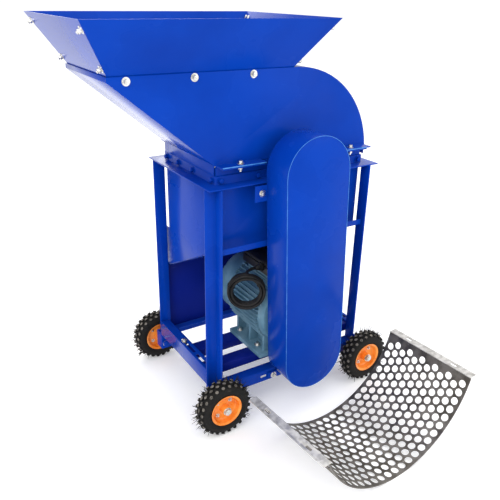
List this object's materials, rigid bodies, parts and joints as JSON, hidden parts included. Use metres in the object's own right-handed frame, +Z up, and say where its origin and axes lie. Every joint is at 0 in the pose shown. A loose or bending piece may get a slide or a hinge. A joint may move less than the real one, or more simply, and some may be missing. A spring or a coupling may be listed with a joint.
{
  "type": "hammer mill",
  "caption": "Grain hammer mill on a wheeled angle-iron stand: open hopper, rounded casing, belt guard, electric motor below, rear chute, and a spare curved screen on the floor in front.",
  "frame": {"origin": "middle of the whole object's footprint, the spare screen included, on the floor", "axes": "+X along the machine towards the rounded end of the casing, -Y towards the belt guard, +Z up"},
  "size_m": [1.0424, 1.0168, 1.257],
  "materials": {
    "blue_paint": "glossy royal blue enamel",
    "navy_paint": "dark navy enamel",
    "bearing_iron": "painted cast housing",
    "motor_paint": "teal enamel on a finned casting",
    "black_plastic": "black moulded plastic",
    "black_rubber": "black rubber",
    "screen_steel": "dark rolled sheet with bright edges",
    "bare_steel": "turned steel",
    "grey_iron": "turned grey iron",
    "hammer_steel": "cut plate",
    "tyre_rubber": "moulded tyre",
    "orange_paint": "orange enamel",
    "zinc_steel": "zinc plated"
  },
  "bodies": {
    "frame": {"table_ring": "blue_paint", "leg_fl": "blue_paint", "leg_fr": "blue_paint", "leg_bl": "blue_paint", "leg_br": "blue_paint", "front_rail": "blue_paint", "back_rail": "blue_paint", "left_rail": "blue_paint", "right_rail": "blue_paint", "hopper_front": "blue_paint", "hopper_right": "blue_paint", "hopper_back": "blue_paint", "hopper_left": "blue_paint", "casing_front": "blue_paint", "casing_back": "blue_paint", "feed_plate": "blue_paint", "wrap_sheet": "blue_paint", "housing_front": "blue_paint", "housing_back": "blue_paint", "housing_left": "blue_paint", "housing_right": "blue_paint", "chute_floor": "blue_paint", "belt_guard": "blue_paint", "guard_back": "blue_paint", "motor_rail_rear": "navy_paint", "motor_rail_front": "navy_paint", "dust_plate": "navy_paint", "bearing_front": "bearing_iron", "bearing_back": "bearing_iron", "motor_body": "motor_paint", "fan_cover": "motor_paint", "terminal_box": "black_plastic", "drive_belt": "black_rubber", "inner_screen": "screen_steel", "cable_gland": "black_plastic", "power_cable": "black_rubber", "cable_coil": "black_rubber", "axle_fl": "zinc_steel", "axle_fr": "zinc_steel", "axle_bl": "zinc_steel", "axle_br": "zinc_steel"},
    "wheel_fl": {"tyre_fl": "tyre_rubber", "rim_fl": "orange_paint"},
    "wheel_fr": {"tyre_fr": "tyre_rubber", "rim_fr": "orange_paint"},
    "wheel_bl": {"tyre_bl": "tyre_rubber", "rim_bl": "orange_paint"},
    "wheel_br": {"tyre_br": "tyre_rubber", "rim_br": "orange_paint"},
    "rotor": {"rotor_shaft": "bare_steel", "rotor_disc_front": "bare_steel", "rotor_disc_back": "bare_steel", "rotor_pulley": "grey_iron"},
    "motor_rotor": {"motor_shaft": "bare_steel", "motor_pulley": "grey_iron"},
    "hammer_row_1": {"hammers_1": "hammer_steel"},
    "hammer_row_2": {"hammers_2": "hammer_steel"},
    "hammer_row_3": {"hammers_3": "hammer_steel"},
    "hammer_row_4": {"hammers_4": "hammer_steel"},
    "spare_screen": {"loose_screen": "screen_steel"}
  },
  "joints": [
    {"name": "wheel_spin_fl", "type": "hinge", "parent": "frame", "child": "wheel_fl", "pos_m": [-0.1668, -0.0436, 0.094], "axis": [0, 1, 0], "continuous": true},
    {"name": "wheel_spin_fr", "type": "hinge", "parent": "frame", "child": "wheel_fr", "pos_m": [0.4272, -0.0436, 0.094], "axis": [0, 1, 0], "continuous": true},
    {"name": "wheel_spin_bl", "type": "hinge", "parent": "frame", "child": "wheel_bl", "pos_m": [-0.1668, 0.4704, 0.094], "axis": [0, 1, 0], "continuous": true},
    {"name": "wheel_spin_br", "type": "hinge", "parent": "frame", "child": "wheel_br", "pos_m": [0.4272, 0.4704, 0.094], "axis": [0, 1, 0], "continuous": true},
    {"name": "rotor_spin", "type": "hinge", "parent": "frame", "child": "rotor", "pos_m": [0.1302, 0.2134, 0.845], "axis": [0, 1, 0], "continuous": true},
    {"name": "motor_spin", "type": "hinge", "parent": "frame", "child": "motor_rotor", "pos_m": [0.1377, -0.0586, 0.328], "axis": [0, 1, 0], "continuous": true},
    {"name": "hammer_swing_1", "type": "hinge", "parent": "rotor", "child": "hammer_row_1", "pos_m": [0.2186, 0.2134, 0.9334], "axis": [0, 1, 0], "range_deg": [-80, 80]},
    {"name": "hammer_swing_2", "type": "hinge", "parent": "rotor", "child": "hammer_row_2", "pos_m": [0.0418, 0.2134, 0.9334], "axis": [0, 1, 0], "range_deg": [-80, 80]},
    {"name": "hammer_swing_3", "type": "hinge", "parent": "rotor", "child": "hammer_row_3", "pos_m": [0.0418, 0.2134, 0.7566], "axis": [0, 1, 0], "range_deg": [-80, 80]},
    {"name": "hammer_swing_4", "type": "hinge", "parent": "rotor", "child": "hammer_row_4", "pos_m": [0.2186, 0.2134, 0.7566], "axis": [0, 1, 0], "range_deg": [-80, 80]},
    {"name": "screen_lift", "type": "slide", "parent": "frame", "child": "spare_screen", "axis": [0, 0, 1], "range_m": [0, 0.3]}
  ],
  "couplings": [
    {"joint": "motor_spin", "follows": "rotor_spin", "ratio": 0.7059}
  ]
}
